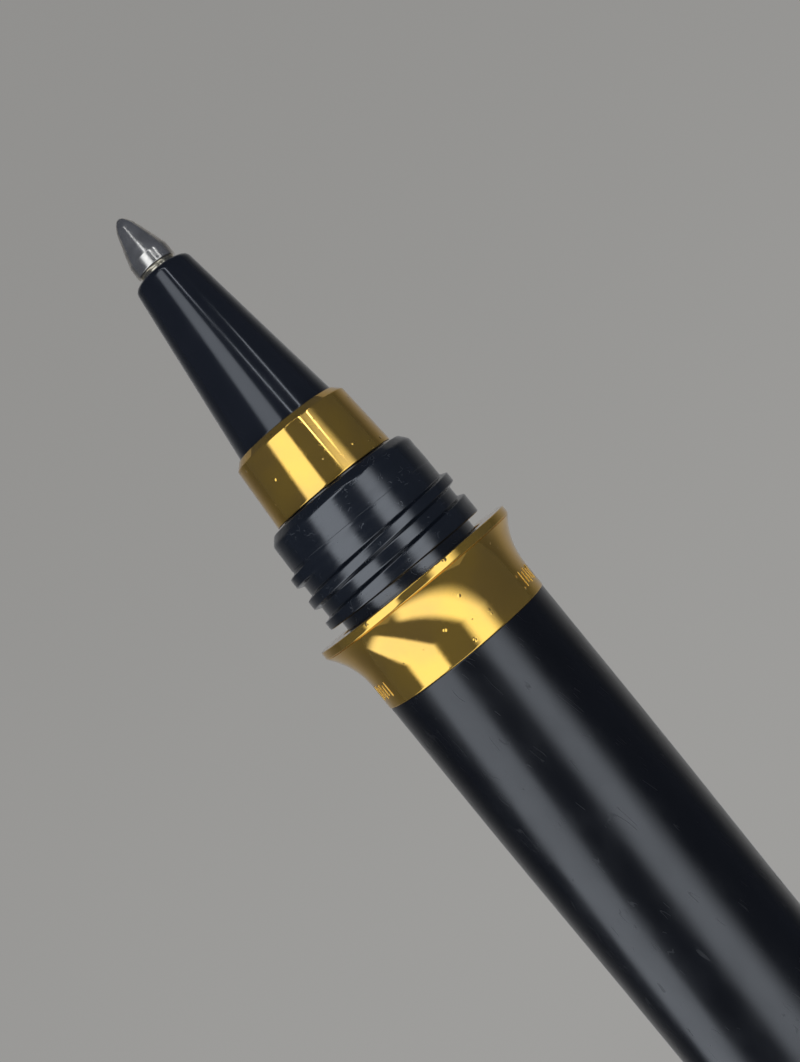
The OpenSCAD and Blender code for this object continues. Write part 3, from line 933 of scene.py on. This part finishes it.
top_z0, top_z1, top_r = span("crown_finial")
crown_stud_depth = 2 * MM
crown_end = lathe("crown_end", rounded([
    (crown_stud, top_z0, 0),
    (top_r, top_z0, 0.05 * MM),
    (top_r - 0.2 * MM, top_z1, 0.92 * MM),
    (0, top_z1, 0),
    (0, top_z0 + crown_stud_depth, 0),
    (crown_stud, top_z0 + crown_stud_depth, 0)], steps=10))
stand_for(crown_end, "crown_finial")

# ---------------------------------------------------------------- pocket clip

clip_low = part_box("pocket_clip")[0]
clip_ball_r = 1.35 * MM
clip_ball_y = -mouth_r - clip_ball_r - 0.06 * MM
clip_ball_z = clip_low.z + clip_ball_r
arm_t = 0.8 * MM
arm_y = -mouth_r - 1.25 * MM
lug_half = 1.2 * MM
heel_half = 0.9 * MM
bend_y = arm_y + arm_t
bend_z = pin_mid.z - heel_half


def clip_section(y, z, angle, half_t, half_w):
    """A rounded cross-section of the clip; angle 0 faces -Y, and 90 faces down."""
    a = math.radians(angle)
    out = Vector((0, -math.sin(a), math.cos(a)))
    points = []
    for i in range(32):
        t = 2 * math.pi * i / 32
        c, s = math.cos(t), math.sin(t)
        x = half_w * math.copysign(abs(c) ** 0.35, c)
        u = half_t * math.copysign(abs(s) ** 0.35, s)
        points.append(Vector((x, y, z)) + out * u)
    return points


heel_y = pin_mid.y + heel_half
lug_y = heel_y - 0.15 * MM
bend_steps = 8
clip_sections = [clip_section(heel_y, pin_mid.z, 0, heel_half * 0.6, lug_half * 0.8)]
for share in (0, 0.5, 0.98):
    y = lug_y + (bend_y - lug_y) * share
    clip_sections.append(clip_section(y, pin_mid.z, 0, heel_half, lug_half))
for step in range(1, bend_steps + 1):
    angle = 90 * step / bend_steps
    half_t = heel_half + (arm_t / 2 - heel_half) * step / bend_steps
    a = math.radians(angle)
    y, z = bend_y - math.sin(a) * half_t, bend_z + math.cos(a) * half_t
    clip_sections.append(clip_section(y, z, angle, half_t, lug_half))
arm_mid = bend_y - arm_t / 2
arm_top_z = crown_z0 - 1.5 * MM
foot_z = clip_ball_z + 0.2 * MM
foot_inward = 0.15 * MM
half_top, half_foot = 1.4 * MM, 0.9 * MM
clip_sections.append(clip_section(arm_mid, crown_z0 + 0.2 * MM, 90, arm_t / 2, lug_half))
arm_steps = 20
for step in range(arm_steps + 1):
    share = step / arm_steps
    z = arm_top_z + (foot_z - arm_top_z) * share
    half_w = half_top + (half_foot - half_top) * share
    inward = foot_inward * max(0, (share - 0.9) / 0.1)
    clip_sections.append(clip_section(arm_mid + inward, z, 90, arm_t / 2, half_w))
clip = loft("clip", clip_sections, crease=50)
clip_ball_side = arc(0, 0, clip_ball_r, -88, 88, 32)
clip_ball = lathe("clip_ball", [(0, -clip_ball_r)] + clip_ball_side + [(0, clip_ball_r)], 96)
clip_ball.data.transform(Matrix.Translation((0, clip_ball_y, clip_ball_z)))
combine(clip, "UNION", clip_ball, 50)
combine(clip, "DIFFERENCE", cross_pin("axle_hole", pin_r + 0.03 * MM, 2 * pin_half), 50)
stand_for(clip, "pocket_clip")

# ---------------------------------------------------------------- stage, camera and light

# A pale wall with a coved foot stands behind the pen and is seen in its reflections. The camera
# sees the studio round it instead: a plain pale floor, wall and ceiling that light nothing. Their
# brightness is painted light, a glow that is darker low down and lighter higher up.
PALE = (0.62, 0.615, 0.60)
# The surround's painted light: glow tones from darker low down to lighter higher up, with a faint grey
# cloud.
LOW_PAINTED_GLOW, HIGH_PAINTED_GLOW, PAINTED_GLOW_CLOUD = (0.280, 0.276, 0.268), (0.350, 0.346, 0.336), (0.25, 0.25, 0.25)
stage_floor = -0.45
stage_wall = 0.55
stage_top = 1.4
cove = 0.2
stage_half = 1.6
cove_steps = 24
cove_angles = [math.pi / 2 * i / cove_steps for i in range(cove_steps + 1)]
profile = [(stage_wall - cove + cove * math.sin(a), stage_floor + cove - cove * math.cos(a))
           for a in cove_angles]
profile.append((stage_wall, stage_top))
stage_verts = [(x, y, z) for y, z in profile for x in (-stage_half, stage_half)]
stage_faces = [(2 * i, 2 * i + 1, 2 * i + 3, 2 * i + 2) for i in range(len(profile) - 1)]
backdrop = as_object("backdrop", stage_verts, stage_faces, 60)
paper = Look("pale_paper")
paper.raise_by(paper.noise(0.3, detail=3), 0.02)
backdrop.data.materials.append(paper.finish(
    paper.mix(paper.noise(0.01, detail=3), PALE, tuple(0.97 * c for c in PALE)), 0.9))
backdrop.visible_camera = False

studio_r = 2.6
studio_floor = -1.0
studio_top = 3.0
studio_cove = 1.2
studio = lathe("studio", rounded([
    (0, studio_floor, 0),
    (studio_r, studio_floor, studio_cove),
    (studio_r, studio_top, studio_cove),
    (0, studio_top, 0)], steps=24), 96, 60)
for ray in ("diffuse", "glossy", "transmission", "shadow"):
    setattr(studio, "visible_" + ray, False)
# Painted light: the surround glows, painted darker at the bottom and lighter at the top, in place of lit
# walls.
glow = Look("painted_light_surround", Specular_IOR_Level=0, Emission_Strength=1)
height = glow.add("ShaderNodeSeparateXYZ")
glow.put(height.inputs[0], glow.place)
level = glow.fade(glow.maths("MULTIPLY", height.outputs["Z"], MM), -1.3, 1.3)
painted_glow_tone = glow.mix(level, LOW_PAINTED_GLOW, HIGH_PAINTED_GLOW)
cloud = glow.fade(glow.noise(0.002, detail=3), 0.3, 0.7, 0, 0.04)
glow.put(glow.shader.inputs["Emission Color"], glow.mix(cloud, painted_glow_tone, PAINTED_GLOW_CLOUD))
studio.data.materials.append(glow.finish((0, 0, 0), 1.0))

DIM_BLUE = (0.058, 0.067, 0.092)  # what the unlit studio adds to every reflection
scene = bpy.context.scene
scene.view_settings.view_transform = "Standard"
world = bpy.data.worlds.new("studio")
scene.world = world
world.use_nodes = True
world.node_tree.nodes["Background"].inputs["Color"].default_value = opaque(DIM_BLUE)


def heading(azimuth, elevation):
    """A direction seen from the pen; azimuth 0 is -Y, towards the camera, and 90 is +X."""
    a, e = math.radians(azimuth), math.radians(elevation)
    return Vector((math.sin(a) * math.cos(e), -math.cos(a) * math.cos(e), math.sin(e)))


def panel(name, middle, along, facing, width, length, radiance, colour=(1, 1, 1), soft=(0, 0, 0)):
    """A rectangular light; along is its long direction, and facing the way it shines.
    soft is the share of its size over which it fades at its sides, at its start and at its end."""
    data = bpy.data.lights.new(name, "AREA")
    data.shape = "RECTANGLE"
    data.size, data.size_y = width, length
    data.energy = radiance * math.pi * width * length
    data.color = colour
    data.use_nodes = True
    tree = data.node_tree
    where = tree.nodes.new("ShaderNodeNewGeometry")
    split = tree.nodes.new("ShaderNodeSeparateXYZ")
    tree.links.new(where.outputs["Parametric"], split.inputs[0])
    level = None
    for axis, edge, reach in (("X", 0, soft[0]), ("X", 1, soft[0]), ("Y", 0, soft[1]), ("Y", 1, soft[2])):
        if reach:
            fade = tree.nodes.new("ShaderNodeMapRange")
            fade.interpolation_type = "SMOOTHSTEP"
            tree.links.new(split.outputs[axis], fade.inputs["Value"])
            fade.inputs["From Min"].default_value = edge
            fade.inputs["From Max"].default_value = abs(edge - reach)
            if level is None:
                level = fade.outputs["Result"]
            else:
                both = tree.nodes.new("ShaderNodeMath")
                both.operation = "MULTIPLY"
                tree.links.new(level, both.inputs[0])
                tree.links.new(fade.outputs["Result"], both.inputs[1])
                level = both.outputs[0]
    if level is not None:
        tree.links.new(level, tree.nodes["Emission"].inputs["Strength"])
    lamp = bpy.data.objects.new(name, data)
    long_way = along.normalized()
    back = -(facing - long_way * facing.dot(long_way)).normalized()
    side = long_way.cross(back)
    lamp.matrix_world = Matrix((
        (side.x, long_way.x, back.x, middle.x),
        (side.y, long_way.y, back.y, middle.y),
        (side.z, long_way.z, back.z, middle.z),
        (0, 0, 0, 1)))
    lamp.visible_camera = False
    scene.collection.objects.link(lamp)
    return lamp


PIVOT = Vector((0, 0, 0.028))  # a point on the pen's axis in the middle of the view
COOL, WARM = (0.93, 1.0, 1.10), (1, 0.985, 0.955)
STRIP_RADIANCE = 1.52
LINE_WIDTH = 0.006


def strip(name, azimuth, distance, lean_azimuth, lean_elevation, width, first, last, turn, soft):
    """A long panel that passes the pen at this azimuth and distance, and leans as given.
    It runs from first to last along its lean, and is turned about its length."""
    along = heading(lean_azimuth, lean_elevation)
    nearest = PIVOT + heading(azimuth, 0) * distance
    facing = PIVOT - nearest
    facing -= along * facing.dot(along)
    facing.rotate(Matrix.Rotation(math.radians(turn), 3, along))
    return panel(name, nearest + along * (first + last) / 2, along, facing, width, last - first,
                 STRIP_RADIANCE, colour=COOL, soft=soft)


def line_light(name, start, end, radiance):
    """A narrow light between two points, which shines at the nose."""
    start, end = Vector(start), Vector(end)
    middle = (start + end) / 2
    return panel(name, middle, end - start, Vector((0, 0, 0.01)) - middle, LINE_WIDTH,
                 (end - start).length, radiance, colour=COOL, soft=(0.4, 0.2, 0.2))


strip("strip_right", azimuth=-30.8, distance=0.15, lean_azimuth=115.7, lean_elevation=47.8,
      width=0.122, first=-0.105, last=0.32, turn=-34, soft=(0.36, 0.19, 0.2))
strip("strip_left", azimuth=40.4, distance=0.10, lean_azimuth=142, lean_elevation=45.7,
      width=0.064, first=-0.21, last=0.22, turn=8, soft=(0.16, 0.1, 0.2))
line_light("line_low", (0.010, -0.061, -0.085), (-0.038, -0.086, -0.030), radiance=4.5)
line_light("line_right", (-0.039, -0.087, -0.034), (-0.046, -0.091, 0.002), radiance=4.5)
line_light("line_far", (-0.078, -0.054, -0.033), (-0.064, -0.080, 0.001), radiance=3.6)
for name, z, radiance in (("wall_wash_high", 0.36, 1.85), ("wall_wash_low", -0.32, 1.15)):
    panel(name, middle=Vector((-0.08, 0.10, z)), along=Vector((1, 0, 0)), facing=Vector((0, 1, -0.8 * z)),
          width=0.25, length=1.0, radiance=radiance, colour=WARM)
panel("rear", middle=Vector((0, 0.40, 0.29)), along=Vector((0, 0, 1)), facing=Vector((0, -1, -0.4)),
      width=0.2, length=0.42, radiance=1.1, colour=COOL, soft=(0.4, 0.3, 0.2))
panel("overhead", middle=Vector((0, 0.3, 0.95)), along=Vector((1, 0, 0)), facing=Vector((0, -0.3, -0.95)),
      width=0.9, length=1.2, radiance=0.16)

PICTURE_LENGTH = 0.060  # what the view's long side spans at the pen
CAMERA_DISTANCE = 0.084
PEN_SLANT = math.radians(50.77)  # how far the tail hangs below the view's horizontal
camera_data = bpy.data.cameras.new("camera")
camera_data.sensor_width = 36
camera_data.lens = camera_data.sensor_width * CAMERA_DISTANCE / PICTURE_LENGTH
camera_data.clip_start, camera_data.clip_end = 0.005, 10
camera = bpy.data.objects.new("camera", camera_data)
camera_right = Vector((-math.sin(PEN_SLANT), 0, math.cos(PEN_SLANT)))
camera_up = Vector((-math.cos(PEN_SLANT), 0, -math.sin(PEN_SLANT)))
camera_back = camera_right.cross(camera_up)
aim = Vector((-0.0012, 0, 0.02368))  # what the middle of the view shows
camera.matrix_world = Matrix((
    (camera_right.x, camera_up.x, camera_back.x, aim.x),
    (camera_right.y, camera_up.y, camera_back.y, aim.y - CAMERA_DISTANCE),
    (camera_right.z, camera_up.z, camera_back.z, aim.z),
    (0, 0, 0, 1)))
scene.collection.objects.link(camera)
scene.camera = camera
